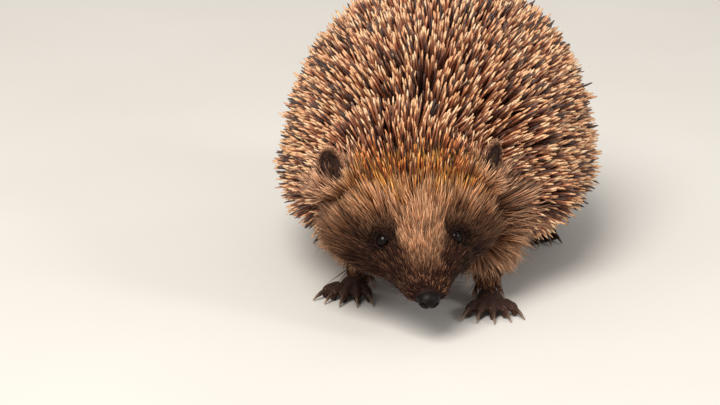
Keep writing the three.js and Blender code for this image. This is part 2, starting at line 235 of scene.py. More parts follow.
def skinHide(tree):
    # Living skin: pinkish brown under the spines, near black on the muzzle; fine creases, moist on the nose.
    marks = {"rust": "#3a1a08", "dark": "#1c0a05", "bare": "#33221d", "pad": "#0c0605"}
    masks = [addNode(tree, "Attribute", {}, "Fac", attribute_name=name) for name in marks]
    places = addNode(tree, "TexCoord", {}, "Object")
    # Patches of colour about 8 mm across.
    patches = addNode(tree, "TexNoise", {"Vector": places, "Scale": patternScale(8.333), "Detail": 4.0})
    browns = [(0.3, "#38201a"), (0.55, "#4c2c20"), (0.75, "#5e3a2a")]
    colour = addNode(tree, "ValToRGB", {"Fac": patches}, stops=browns)
    for mask, marked in zip(masks, marks.values()):
        colour = addNode(tree, "Mix", {0: mask, 6: colour, 7: linear(marked)}, **colourMix)
    # Creases are about 0.3 mm apart and the grain 0.15 mm; drawn at 0.7 and 0.4 mm so that they show.
    creases = {"Vector": places, "Scale": patternScale(0.7143)}
    creases = addNode(tree, "TexVoronoi", creases, feature="DISTANCE_TO_EDGE")
    grain = addNode(tree, "TexNoise", {"Vector": places, "Scale": patternScale(0.3846), "Detail": 3.0})
    relief = addNode(tree, "Math", {0: creases, 1: grain}, operation="MULTIPLY")
    bump = addNode(tree, "Bump", {"Strength": 0.5, "Distance": 0.2 * mm, "Height": relief})
    rough = addNode(tree, "MapRange", {"Value": masks[-1], "To Min": 0.7, "To Max": 0.46})
    return {
        "Base Color": colour, "Roughness": rough, "IOR": 1.4, "Specular IOR Level": 0.18, "Normal": bump,
    }


def wetCornea(tree):
    # Wet cornea over a near-black iris: a hard clear highlight on a deep brown-black ball.
    places = addNode(tree, "TexCoord", {}, "Object")
    # The flecks of the iris are about 0.4 mm apart; they are drawn at 1.4 mm so that they show.
    flecks = addNode(tree, "TexNoise", {"Vector": places, "Scale": patternScale(1.4286), "Detail": 3.0})
    colour = addNode(tree, "ValToRGB", {"Fac": flecks}, stops=[(0.35, "#050303"), (0.7, "#140b08")])
    return {
        "Base Color": colour, "Roughness": 0.05, "IOR": 1.38, "Specular IOR Level": 0.22,
    }


def clawHorn(tree):
    # Claw horn: brown, streaked along its length and paler at the worn tip; a dull polish.
    along = addNode(tree, "Attribute", {}, "Fac", attribute_name="along")
    places = addNode(tree, "TexCoord", {}, "Object")
    # The horn's streaks are about 0.2 mm wide; they are drawn at 1.1 mm so that they show.
    streaks = addNode(tree, "TexNoise", {"Vector": places, "Scale": patternScale(1.1111), "Detail": 4.0})
    browns = [(0.0, "#2b1c15"), (0.6, "#5b4232"), (1.0, "#a08468")]
    horn = addNode(tree, "ValToRGB", {"Fac": along}, stops=browns)
    worn = addNode(tree, "ValToRGB", {"Fac": streaks}, stops=[(0.3, "#8f8f8f"), (0.7, "#ffffff")])
    colour = addNode(tree, "Mix", {0: 1.0, 6: horn, 7: worn}, **colourProduct)
    bump = addNode(tree, "Bump", {"Strength": 0.3, "Distance": 0.1 * mm, "Height": streaks})
    return {"Base Color": colour, "Roughness": 0.38, "IOR": 1.55, "Normal": bump}


def whiskerHair(tree):
    # Whisker hair: stiff, smooth and black-brown, fading to brown at the tip.
    along = addNode(tree, "Attribute", {}, "Fac", attribute_name="along")
    browns = [(0.0, "#0d0807"), (0.6, "#1d130f"), (1.0, "#4a372d")]
    shaft = addNode(tree, "ValToRGB", {"Fac": along}, stops=browns)
    return {"Base Color": shaft, "Roughness": 0.35, "IOR": 1.55}


def paleFloor(tree):
    # Matt painted board: pale and even, with a faint mottle about 170 mm across.
    places = addNode(tree, "TexCoord", {}, "Object")
    mottle = addNode(tree, "TexNoise", {"Vector": places, "Scale": patternScale(166.67), "Detail": 2.0})
    colour = addNode(tree, "ValToRGB", {"Fac": mottle}, stops=[(0.3, "#c8c4bd"), (0.7, "#cdc9c3")])
    return {"Base Color": colour, "Roughness": 0.8}


def newPiece(name, mesh, material):
    mesh.materials.clear()
    mesh.materials.append(material)
    mesh.polygons.foreach_set("use_smooth", np.ones(len(mesh.polygons), bool))
    piece = bpy.data.objects.new(name, mesh)
    scene.collection.objects.link(piece)
    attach(piece, "root")
    return piece


def refilled(mesh, form):  # puts a bmesh's shape in a mesh
    mesh.clear_geometry()
    form.to_mesh(mesh)
    form.free()
    return mesh


def meshFrom(form, name):
    return refilled(bpy.data.meshes.new(name), form)


def modified(mesh, kind, settings, weights=None):  # the mesh as a modifier leaves it where the weights say
    holder = bpy.data.objects.new("holder", mesh)
    if weights is not None:
        group = holder.vertex_groups.new(name="weights")
        for index in np.nonzero(weights > 0.02)[0]:
            group.add([int(index)], float(weights[index]), "REPLACE")
        settings = {**settings, "vertex_group": "weights"}
    scene.collection.objects.link(holder)
    modifier = holder.modifiers.new(kind, kind)
    for key, value in settings.items():
        setattr(modifier, key, value)
    shaped = holder.evaluated_get(bpy.context.evaluated_depsgraph_get())
    made = bpy.data.meshes.new_from_object(shaped)
    bpy.data.objects.remove(holder)
    bpy.data.meshes.remove(mesh)
    return made


def valuesOf(collection, key, width, kind=np.float32):
    values = np.empty(len(collection) * width, kind)
    collection.foreach_get(key, values)
    return values.reshape(-1, width)


def pointsOf(mesh):
    return valuesOf(mesh.vertices, "co", 3).astype(float) / mm


def normalsOf(mesh):
    return valuesOf(mesh.vertex_normals, "vector", 3).astype(float)


def setPoints(mesh, points):
    mesh.vertices.foreach_set("co", (points * mm).astype(np.float32).ravel())
    mesh.update()


def setAttribute(mesh, name, values):
    layer = mesh.attributes.new(name, "FLOAT", "POINT")
    layer.data.foreach_set("value", np.asarray(values, np.float32))


# A ball whose poles are drawn out along a form's length. place(t, across, above, swelling) gives its points:
# t runs from 0 to 1 along the form, across and above from -1 to 1 round it, and swelling is 0 at the poles.
def shapedForm(around, along, place):
    form = bmesh.new()
    bmesh.ops.create_uvsphere(form, u_segments=around, v_segments=along, radius=1)
    mesh = meshFrom(form, "form")
    ball = pointsOf(mesh) * mm
    girth = np.hypot(ball[:, 0], ball[:, 1])
    swelling = (girth > 1e-4).astype(float)
    t = np.arccos(np.clip(ball[:, 2], -1, 1)) / math.pi
    safe = np.maximum(girth, 1e-4)
    setPoints(mesh, place(t, ball[:, 0] / safe, ball[:, 1] / safe, swelling))
    return mesh


def roundEnd(t, reach):
    return np.sqrt(1 - (1 - np.clip(t / reach, 0, 1)) ** 2)


# A limb, toe or claw: a closed form along a bent line from start through bend to end.
def bentForm(around, along, start, bend, end, sizes, ends, narrow=1.0):
    start, bend, end = np.array(start, float), np.array(bend, float), np.array(end, float)

    def place(t, across, above, swelling):
        s = t[:, None]
        at = (1 - s) ** 2 * start + 2 * s * (1 - s) * bend + s * s * end
        heading = unit(2 * (1 - s) * (bend - start) + 2 * s * (end - bend))
        sideways = unit(np.cross(heading, [0, 0, 1]))
        upright = np.cross(sideways, heading)
        radius = np.interp(t, np.linspace(0, 1, len(sizes)), sizes) * swelling
        radius = radius * roundEnd(t, ends[0]) * roundEnd(1 - t, ends[1])
        return at - (radius * across * narrow)[:, None] * sideways + (radius * above)[:, None] * upright

    return shapedForm(around, along, place)


def ballForm(at, radii, turn=0.0, around=20, along=14):
    form = bmesh.new()
    place = Matrix.Translation(Vector(at) * mm) @ Matrix.Rotation(turn, 4, "Z")
    place = place @ Matrix.Diagonal(Vector(radii) * mm).to_4x4()
    bmesh.ops.create_uvsphere(form, u_segments=around, v_segments=along, radius=1, matrix=place)
    return meshFrom(form, "form")


def joinedMesh(parts, name):
    form = bmesh.new()
    for part in parts:
        form.from_mesh(part)
        bpy.data.meshes.remove(part)
    return meshFrom(form, name)


# The forms of the skin, which lies inside the coat. Each row of sizes runs from the front to the back.
skull = {
    "behind": [2.5, 9, 18, 29, 41, 53, 65, 78],
    "halfWidth": [5.4, 9.2, 15.6, 24.4, 30.8, 32.6, 34.5, 38],
    "up": [4.6, 6.4, 9.2, 13.6, 20, 26, 31.5, 33],
    "down": [3.9, 5.5, 9, 14.2, 19, 22.5, 25, 26],
    "squareness": 0.94, "muzzleRound": 0.1, "crownRound": 0.12,
}
# How thick the coat of the head is, by the distance behind the nose, above and below.
headCoat = {
    "behind": [0, 6, 14, 22, 30, 38, 46, 54, 62, 78],
    "above": [0.2, 0.4, 0.8, 1.3, 1.8, 2.8, 4.2, 6.5, 10.5, 12.5],
    "below": [0.2, 0.4, 0.8, 1.3, 2.0, 3.0, 3.8, 4.5, 5.5, 6],
}
trunk = {
    "y": [-80, -48, -12, 26, 64, 92, 108],
    "halfWidth": [38, 50, 58.5, 61.5, 57.5, 46, 35],
    "top": [80, 96, 108, 113, 106, 90, 74],
    "bottom": [29, 20, 15.5, 15, 14.5, 15, 19],
    "widestAt": 0.36, "napeRound": 0.22, "rumpRound": 0.26,
    "domeSquareness": 1.03, "undersideSquareness": 0.66,
    "coatAbove": 12.5, "coatBelow": 5, "coatEnd": 12,
}
hemLine = {"y": [-140, -50, -20, 20, 60, 90, 150], "z": [44, 34, 30, 29, 32, 39, 52]}
tailPlan = {"y": 96, "z": 25, "length": 19, "root": 5.5, "tip": 2.4, "drop": 38, "coat": 1.4}
limbs = {
    "fore": {
        "side": 27, "y": -46, "kneeZ": 27, "hipSpread": 3, "thigh": 11.5, "ankle": 6.2,
        "palmLength": 17, "palmWidth": 14.5, "palmHeight": 7.6, "steps": {1: -9, -1: 5},
        "toeLength": 7.6, "toeRadius": 2.2, "spread": 15, "claw": 6.6, "turnOut": 9,
    },
    "hind": {
        "side": 35, "y": 50, "kneeZ": 30, "hipSpread": 2, "thigh": 14, "ankle": 6.4,
        "palmLength": 25, "palmWidth": 13.5, "palmHeight": 7.8, "steps": {1: 4, -1: -8},
        "toeLength": 8.4, "toeRadius": 2.2, "spread": 11, "claw": 6.4, "turnOut": 13,
    },
}
limbCoat = {"thigh": 2.4, "ankle": 0.9}
pawPlan = {
    "heelUp": 0.46, "toeGap": 0.17, "buried": 0.22,  # shares of the palm's height, width and length
    "toeRootUp": 1.3, "knuckleUp": 1.1,  # shares of the toe's radius
    "toeSizes": (1.0, 0.97, 0.9, 0.84, 0.9, 0.82, 0.7),
    "clawTipUp": 0.4,
    # Plantar pads, three behind the toes and two at the heel: place along and across the palm, and radius.
    "pads": ((0.80, 0.0, 2.6), (0.72, 0.27, 2.3), (0.72, -0.27, 2.3), (0.18, 0.14, 2.0), (0.2, -0.14, 1.8)),
}
earPlan = {
    "side": 31.4, "behind": 54.5, "up": 17, "width": 13, "thick": 5.2, "height": 18,
    "pitch": -22, "lean": 22, "turn": 40, "wall": 1.25,
    "foot": (22, 54, 8), "footSizes": (9, 8.4, 7.2, 5.6, 3.8),
}
neckRuff = {"line": [(20, 58, 10), (26, 62, -2), (20, 62, -15)], "sizes": (3, 5.5, 7, 6.5, 5, 3)}
skinPlan = {"voxel": 0.6, "faceBehind": 47, "triangles": 150000}


def fuller(values, power):
    return np.sign(values) * np.abs(values) ** power


def skullPlace(t, across, above, swelling):
    behind = throughRow(skull["behind"], t)
    swell = swelling * roundEnd(t, skull["muzzleRound"]) * roundEnd(1 - t, skull["crownRound"])
    coat = blend(
        fade(above, -0.4, 0.3),
        np.interp(behind, headCoat["behind"], headCoat["below"]),
        np.interp(behind, headCoat["behind"], headCoat["above"]),
    )
    reach = np.where(above > 0, throughRow(skull["up"], t), throughRow(skull["down"], t)) - coat
    halfWidth = throughRow(skull["halfWidth"], t) - coat
    return fromHead(np.stack([
        swell * halfWidth * fuller(across, skull["squareness"]),
        behind,
        swell * reach * fuller(above, skull["squareness"]),
    ], axis=1))


def trunkPlace(t, across, above, swelling):
    swell = swelling * roundEnd(t, trunk["napeRound"]) * roundEnd(1 - t, trunk["rumpRound"])
    top, bottom = throughRow(trunk["top"], t), throughRow(trunk["bottom"], t)
    widest = bottom + (top - bottom) * trunk["widestAt"]
    upper = above > 0
    power = np.where(upper, trunk["domeSquareness"], trunk["undersideSquareness"])
    coat = blend(fade(above, -0.5, 0.15), trunk["coatBelow"], trunk["coatAbove"])
    reach = np.where(upper, top - widest, widest - bottom) - coat
    return np.stack([
        swell * (throughRow(trunk["halfWidth"], t) - coat) * fuller(across, power),
        throughRow(trunk["y"], t) - trunk["coatEnd"] * (2 * t - 1),
        widest + swell * reach * fuller(above, power),
    ], axis=1)


def legLine(limb, side):
    hip = np.array([side * (limb["side"] - limb["hipSpread"]), limb["y"], limb["kneeZ"]])
    ankle = np.array([side * limb["side"], limb["y"] + limb["steps"][side], limb["palmHeight"] * 0.7])
    return hip, ankle


def pawLayout(limb, side):
    facing = math.radians(-side * limb["turnOut"])
    forward = np.array([-math.sin(facing), -math.cos(facing), 0])
    sideways = np.array([math.cos(facing), -math.sin(facing), 0])
    heelUp = limb["palmHeight"] * pawPlan["heelUp"]
    heel = np.array([side * limb["side"], limb["y"] + limb["steps"][side], heelUp])
    heel = heel - forward * limb["ankle"] * 0.7
    front = heel + forward * limb["palmLength"]
    buried = limb["palmLength"] * pawPlan["buried"]
    toes = []
    for toe in range(-2, 3):
        fan = facing + math.radians(toe * limb["spread"])
        out = np.array([-math.sin(fan), -math.cos(fan), 0])
        shorter = 1 - abs(toe) * (0.14 if toe * side < 0 else 0.09)
        root = front - forward * buried - sideways * toe * limb["palmWidth"] * pawPlan["toeGap"]
        root[2] = limb["toeRadius"] * pawPlan["toeRootUp"]
        knuckle = root + out * (limb["toeLength"] + buried) * shorter
        knuckle[2] = limb["toeRadius"] * pawPlan["knuckleUp"]
        clawTip = knuckle + out * limb["claw"]
        clawTip[2] = pawPlan["clawTipUp"]
        toes.append({"root": root, "knuckle": knuckle, "clawTip": clawTip, "out": out})
    return {
        "facing": facing, "forward": forward, "sideways": sideways,
        "heel": heel, "front": front, "toes": toes,
    }


def pawForms(limb, side):
    paw = pawLayout(limb, side)
    turn = paw["facing"]

    def sole(t, across, above, swelling):
        swell = np.sin(math.pi * (0.1 + 0.8 * t)) ** 0.5 * swelling
        swell = swell * roundEnd(t, 0.12) * roundEnd(1 - t, 0.12)
        halfHeight = limb["palmHeight"] * (pawPlan["heelUp"] - 0.12 * t)
        at = paw["heel"] + (paw["front"] - paw["heel"]) * t[:, None]
        at[:, 2] = halfHeight + 0.25
        at += (limb["palmWidth"] * (0.30 + 0.15 * t) * swell * across)[:, None] * paw["sideways"]
        at[:, 2] += halfHeight * swell * above
        return at

    parts = [shapedForm(28, 24, sole)]
    radius = limb["toeRadius"]
    for toe in paw["toes"]:
        bend = (toe["root"] + toe["knuckle"]) / 2 + np.array([0, 0, 1.9])
        sizes = [radius * share for share in pawPlan["toeSizes"]]
        end = toe["knuckle"] + toe["out"] * 0.9
        parts.append(bentForm(18, 26, toe["root"], bend, end, sizes, (0.15, 0.16)))
        tipPad = toe["knuckle"] - toe["out"] * 0.3
        parts.append(ballForm((tipPad[0], tipPad[1], 1.15), (1.4, 1.8, 1.0), turn))
    for along, out, size in pawPlan["pads"]:
        at = paw["heel"] + (paw["front"] - paw["heel"]) * along + paw["sideways"] * out * limb["palmWidth"]
        parts.append(ballForm((at[0], at[1], 1.1), (size, size * 1.15, 1.0), turn))
    return parts


earTurns = {}
for side in sides.values():
    turns = np.radians([earPlan["pitch"], side * earPlan["lean"], side * earPlan["turn"]])
    earTurns[side] = np.array(Euler(turns, "XYZ").to_matrix())


def earMiddle(side):
    return np.array([side * earPlan["side"], earPlan["behind"], earPlan["up"]])


def toEar(head, side):  # from the head's frame to the ear's own: width, depth (front is negative), height
    return (head - earMiddle(side)) @ earTurns[side]


def earForms(side):
    halfWidth, halfThick, halfHeight = earPlan["width"] / 2, earPlan["thick"] / 2, earPlan["height"] / 2

    def place(t, across, above, swelling):
        # t runs from the top of the ear to its base; above is towards its front.
        polar = t * math.pi
        u = np.sin(polar) * across * swelling
        w = np.cos(polar)
        edge = np.clip(u * u + w * w, 0, 1)
        depth = np.sin(polar) * above * swelling
        back = halfThick * 0.9 * np.sqrt(1 - edge)
        hollow = -1.5 + (halfThick * 0.9 + 1.5 - earPlan["wall"]) * (1 - edge) ** 0.8
        fold = 0.9 * np.exp(-((u + 0.28 * side) / 0.13) ** 2 - ((w + 0.05) / 0.5) ** 2)
        y = np.where(depth > 0, np.minimum(hollow - fold, back - 0.9), back)
        y = y + 1.1 * u * u - 0.5
        pinch = 1 - 0.16 * fade(w, 0.35, 1)
        local = np.stack([u * halfWidth * pinch, y, w * halfHeight], axis=1)
        return fromHead(local @ earTurns[side].T + earMiddle(side))

    # The root of the ear carries it down through the coat to the head.
    foot = fromHead(np.array(earPlan["foot"]) * [side, 1, 1])
    top = fromHead(np.array([0, 0.4, -6.0]) @ earTurns[side].T + earMiddle(side))
    root = bentForm(28, 24, foot, (foot + top) / 2, top, earPlan["footSizes"], (0.2, 0.3))
    return [shapedForm(44, 40, place), root]


def ruffForm(side):  # fills the crease between cheek and shoulder
    start, bend, end = (fromHead(np.array(place) * [side, 1, 1]) for place in neckRuff["line"])
    return bentForm(28, 24, start, bend, end, neckRuff["sizes"], (0.3, 0.3))


def fleshForms():
    parts = [shapedForm(96, 80, skullPlace), shapedForm(96, 80, trunkPlace)]
    pad = ballForm((0, 0, 0), headPlan["noseRadii"], 0, 32, 24)
    setPoints(pad, fromHead(pointsOf(pad) + noseInHead))
    parts.append(pad)
    for side in sides.values():
        parts += earForms(side)
        parts.append(ruffForm(side))
        for limb in limbs.values():
            hip, ankle = legLine(limb, side)
            bend = (hip + ankle) / 2 + np.array([0, 3 if limb is limbs["fore"] else -3, 0])
            hip = hip + np.array([0, 0, 10])
            thigh, ankleSize = limb["thigh"] - limbCoat["thigh"], limb["ankle"] * 0.8 - limbCoat["ankle"]
            sizes = np.linspace(thigh, ankleSize, 6)
            parts.append(bentForm(28, 24, hip, bend, ankle, sizes, (0.3, 0.25)))
            parts += pawForms(limb, side)
    drop = math.radians(tailPlan["drop"])
    axis = np.array([0, math.cos(drop), -math.sin(drop)])
    root = np.array([0, tailPlan["y"], tailPlan["z"]]) - axis * 8
    tip = root + axis * (tailPlan["length"] + 8 + tailPlan["tip"] - tailPlan["coat"])
    sizes = np.linspace(tailPlan["root"], tailPlan["tip"], 6) - tailPlan["coat"]
    parts.append(bentForm(20, 24, root, (root + tip) / 2, tip, sizes, (0.2, 0.15)))
    return joinedMesh(parts, "skin")


rowBehind = throughRow(skull["behind"], np.linspace(0, 1, 60))
rowSizes = {key: throughRow(skull[key], np.linspace(0, 1, 60)) for key in ("halfWidth", "up", "down")}


def fieldsAt(points):  # what lies where on the body: shares from 0 to 1, and distances
    head = toHead(points)
    wide, behind, above = np.abs(head[:, 0]), head[:, 1], head[:, 2]
    upper = np.interp(behind, rowBehind, rowSizes["up"])
    lower = np.interp(behind, rowBehind, rowSizes["down"])
    ring = np.hypot(
        wide / np.interp(behind, rowBehind, rowSizes["halfWidth"]), above / np.where(above > 0, upper, lower)
    )
    field = {"head": head, "wide": wide, "behind": behind, "above": above, "ring": ring}
    field["onHead"] = fade(ring, 1.45, 1.2) * fade(behind, 68, 56)
    hem = np.interp(points[:, 1], hemLine["y"], hemLine["z"])
    uneven = 2.0 * ripple(points, 16, 3)
    brow = 43 + 13 * fade(wide, 13, 27) * fade(wide, 47, 39) + uneven
    field["pastBrow"] = behind - brow
    field["aboveHem"] = points[:, 2] - hem + uneven
    field["spiny"] = fade(field["pastBrow"], -2.5, 2.5) * fade(field["aboveHem"], -3, 3)
    mirrored = np.stack([wide, behind, above], axis=1)
    field["mirrored"] = mirrored
    field["fromEye"] = np.linalg.norm(mirrored - eyeInHead(1), axis=1)
    field["fromEar"] = np.linalg.norm(mirrored - earMiddle(1), axis=1)
    ear, innerEar, leg, paw = np.zeros((4, len(points)))
    for side in sides.values():
        local = toEar(head, side)
        shares = local / [earPlan["width"] * 0.58, earPlan["thick"] * 0.9, earPlan["height"] * 0.55]
        here = fade(np.linalg.norm(shares, axis=1), 1.12, 0.98) * fade(local[:, 2], -7, -4.5)
        ear = np.maximum(ear, here)
        middle = np.hypot(local[:, 0] / (earPlan["width"] * 0.44), local[:, 2] / (earPlan["height"] * 0.46))
        innerEar = np.maximum(innerEar, here * fade(middle, 1.0, 0.8) * fade(local[:, 1], 1.0, 0.2))
    field["ear"], field["innerEar"] = ear, innerEar
    noseAway = (head - noseInHead) / headPlan["noseRadii"]
    field["pad"] = fade(np.linalg.norm(noseAway, axis=1), 1.16, 1.06) * fade(behind, 3.6, 2.8)
    for side in sides.values():
        for limb in limbs.values():
            hip, ankle = legLine(limb, side)
            axis = ankle - hip
            t = np.clip((points - hip) @ axis / (axis @ axis), 0, 1)
            away = np.linalg.norm(points - hip - t[:, None] * axis, axis=1)
            radius = blend(t, limb["thigh"], limb["ankle"])
            leg = np.maximum(leg, fade(away / radius, 1.35, 1.05) * fade(points[:, 2], 25, 17))
            layout = pawLayout(limb, side)
            middle = layout["heel"] + layout["forward"] * limb["palmLength"] * 0.75
            spread = np.hypot(*(points - middle)[:, :2].T)
            paw = np.maximum(paw, fade(spread, limb["palmLength"] + 8, limb["palmLength"] + 5))
    palm = limbs["hind"]["palmHeight"]
    field["paw"] = paw * fade(points[:, 2], palm + 2.5, palm - 0.5)
    field["leg"] = leg * (1 - field["paw"])
    fromTail = np.hypot(points[:, 0], (points[:, 2] - 20) * 0.8)
    field["tail"] = fade(fromTail, 11, 8) * fade(points[:, 1], 99, 102)
    return field


def markings(points, field):
    wide, behind, above = field["wide"], field["behind"], field["above"]
    uneven = ripple(points, 9, 5)
    # The light ridge between the eyes widens upwards; the muzzle, its sides and the eye hollows are dark.
    ridge = np.interp(behind, [0, 8, 14, 22, 30, 38, 46, 56], [0, 1.5, 4.2, 6.6, 8.4, 12, 19, 30])
    offRidge = fade(wide - ridge + uneven, -1.2, 2.6)
    muzzle = fade(behind, 21, 8)
    aroundEye = fade(field["fromEye"] + 0.4 * np.maximum(above - headPlan["eyeUp"], 0), 9.5, 4.5)
    lower = fade(above, 10, 0)
    outer = 0.5 * fade(wide, 16, 21) * fade(above, 1, 6)
    beside = np.maximum(fade(behind, 37, 26) * (1 - outer), 0.8 * fade(behind, 44, 32) * fade(above, 12, 6))
    mask = np.maximum(muzzle, np.maximum(aroundEye, beside) * offRidge)
    mask = np.maximum(mask, 0.72 * lower * fade(behind, 62, 44))
    cheek = fade(np.hypot((wide - 23) / 8, (behind - 41) / 8), 1.2, 0.5)
    mask = mask * (1 - 0.4 * cheek * fade(above, -6, 0))
    dark = field["onHead"] * mask
    dark = np.maximum(dark, field["ear"] * (0.25 + 0.7 * field["innerEar"]))
    dark = np.maximum(dark, 0.75 * field["paw"])
    dark = np.maximum(dark, 0.35 * field["leg"])
    rust = field["onHead"] * fade(np.abs(behind - 45 + 4 * uneven), 12, 4)
    rust = rust * fade(wide, 27, 16) * fade(above, 5, 12)
    pale = (1 - field["onHead"]) * (1 - field["leg"]) * (0.72 + 0.28 * uneven)
    pale = np.maximum(pale, 0.6 * field["onHead"] * fade(behind, 44, 54) * fade(wide, 17, 27))
    return {
        "dark": np.clip(dark, 0, 1), "rust": np.clip(rust, 0, 1), "pale": np.clip(pale, 0, 1),
        "pad": field["pad"],
        "bare": np.clip(np.maximum(field["paw"], field["innerEar"]), 0, 1),
    }


facePlan = {
    "slitWidth": 5.3, "slitHeight": 4.8, "lidThickness": 0.55, "lidReach": 2.7,
    "nostril": (2.5, -0.9, 0.7), "nostrilRadius": 1.25, "nostrilDepth": 1.8,
    "mouthUp": -3.1, "mouthDroop": 0.11, "mouthDepth": 0.8, "grooveDepth": 0.45,
}
# Rounded swellings and hollows of the face: middle, reach across, along and up, and height.
faceSwellings = [
    ((0, 24, 9), (3.4, 11, 6), 0.7),  # bridge of the nose
    ((5.6, 8, 0), (3.2, 4.5, 3.4), 0.8),  # whisker pads
    ((9.5, 26, 8), (3.2, 7, 4), -0.9),  # hollow between bridge and eye
    ((16, 37, 13), (6, 5, 5), 0.9),  # brow
    ((23, 40, -2), (7, 8, 8), 1.3),  # cheek
    ((0, 9, -6), (3.5, 5, 3), 0.4),  # chin
    ((19, 22, 0), (5, 6, 5), -0.5),  # hollow below the eye
]


def eyelids(head, side):
    centre = eyeInHead(side)
    outward = unit(np.array(headPlan["eyeFacing"]) * [side, 1, 1])
    along = unit(np.array([0, 1, 0]) - outward * outward[1])
    upright = np.cross(outward, along) * side
    away = head - centre
    s, t, height = away @ along, away @ upright, away @ outward
    halfWidth, halfHeight = facePlan["slitWidth"] / 2, facePlan["slitHeight"] / 2
    # The slit is a little pointed towards its corners.
    q = np.hypot(s / halfWidth, t / (halfHeight * (1 - 0.18 * np.clip(np.abs(s) / halfWidth, 0, 1.4) ** 2)))
    radius = headPlan["eyeRadius"]
    rim = math.sqrt(radius ** 2 - (halfHeight * 1.02) ** 2) + facePlan["lidThickness"]
    inside = blend(fade(q, 0.86, 1.03), 0.3, rim)
    lid = rim - 0.5 * fade(q, 1.15, 1.9) - 0.22 * np.exp(-((q - 1.75) / 0.16) ** 2)
    lid = blend(fade(q, 1.55, facePlan["lidReach"]), lid, height)
    wanted = np.where(q < 1.03, inside, lid)
    near = (height > -3.5) & (q < facePlan["lidReach"]) & (np.abs(s) < 9) & (np.abs(t) < 9)
    return head + np.where(near, wanted - height, 0)[:, None] * outward


def sculptedFace(points, normals):
    head = toHead(points)
    field = fieldsAt(points)
    outward = normals @ headAxes.T
    wide, behind, above = field["wide"], field["behind"], field["above"]
    height = np.zeros(len(points))
    for middle, reach, rise in faceSwellings:
        height += rise * np.exp(-(((field["mirrored"] - middle) / reach) ** 2).sum(axis=1))
    # The closed mouth runs back from under the nose, and a groove parts the upper lip.
    mouthUp = facePlan["mouthUp"] - facePlan["mouthDroop"] * behind
    mouth = np.exp(-((above - mouthUp) / 0.5) ** 2) * fade(behind, 3, 5) * fade(behind, 24, 20)
    height -= facePlan["mouthDepth"] * mouth * fade(wide, 0.2, 1.6)
    groove = np.exp(-(wide / 0.35) ** 2) * fade(above, 1.6, 0.2) * fade(behind, 4.6, 3.4)
    height -= facePlan["grooveDepth"] * groove
    away = (field["mirrored"] - facePlan["nostril"]) * [0.8, 0.75, 1.15]
    fromHole = np.linalg.norm(away, axis=1) / facePlan["nostrilRadius"]
    height -= facePlan["nostrilDepth"] * fade(fromHole, 1.0, 0.55)
    height += 0.25 * np.exp(-((fromHole - 1.35) / 0.3) ** 2) * field["pad"]
    height *= np.maximum(field["onHead"], field["pad"]) * (1 - field["ear"])
    head = head + outward * height[:, None]
    for side in sides.values():
        head = eyelids(head, side)
    return fromHead(head)


def relaxed(mesh, weights, factor, rounds):  # smooths the mesh where the weights say
    return modified(mesh, "SMOOTH", {"factor": factor, "iterations": rounds}, weights)


def finerFace(mesh):  # halves the size of the faces on the front of the head
    form = bmesh.new()
    form.from_mesh(mesh)
    field = fieldsAt(pointsOf(mesh))
    front = (field["behind"] < skinPlan["faceBehind"]) & (field["ring"] < 1.3) & (field["ear"] < 0.1)
    form.verts.ensure_lookup_table()
    edges = [edge for edge in form.edges if front[edge.verts[0].index] and front[edge.verts[1].index]]
    bmesh.ops.subdivide_edges(form, edges=edges, cuts=1, use_grid_fill=True)
    return refilled(mesh, form)


def largestShell(mesh):  # drops any closed pocket left inside
    form = bmesh.new()
    form.from_mesh(mesh)
    form.verts.ensure_lookup_table()
    seen = np.zeros(len(form.verts), bool)
    shells = []
    for first in form.verts:
        if seen[first.index]:
            continue
        shell, waiting = [], [first]
        seen[first.index] = True
        while waiting:
            vert = waiting.pop()
            shell.append(vert)
            for edge in vert.link_edges:
                other = edge.other_vert(vert)
                if not seen[other.index]:
                    seen[other.index] = True
                    waiting.append(other)
        shells.append(shell)
    shells.sort(key=len)
    for shell in shells[:-1]:
        bmesh.ops.delete(form, geom=shell, context="VERTS")
    print(f"skin: {len(shells)} shells, the largest kept")
    return refilled(mesh, form)


def unwrapped(piece):
    layer = piece.data.uv_layers.new(name="OFBake")
    piece.data.uv_layers.active = layer
    bpy.context.view_layer.objects.active = piece
    piece.select_set(True)
    bpy.ops.object.mode_set(mode="EDIT")
    bpy.ops.mesh.select_all(action="SELECT")
    bpy.ops.uv.smart_project(angle_limit=math.radians(66), island_margin=0.002)
    bpy.ops.object.mode_set(mode="OBJECT")
    piece.select_set(False)


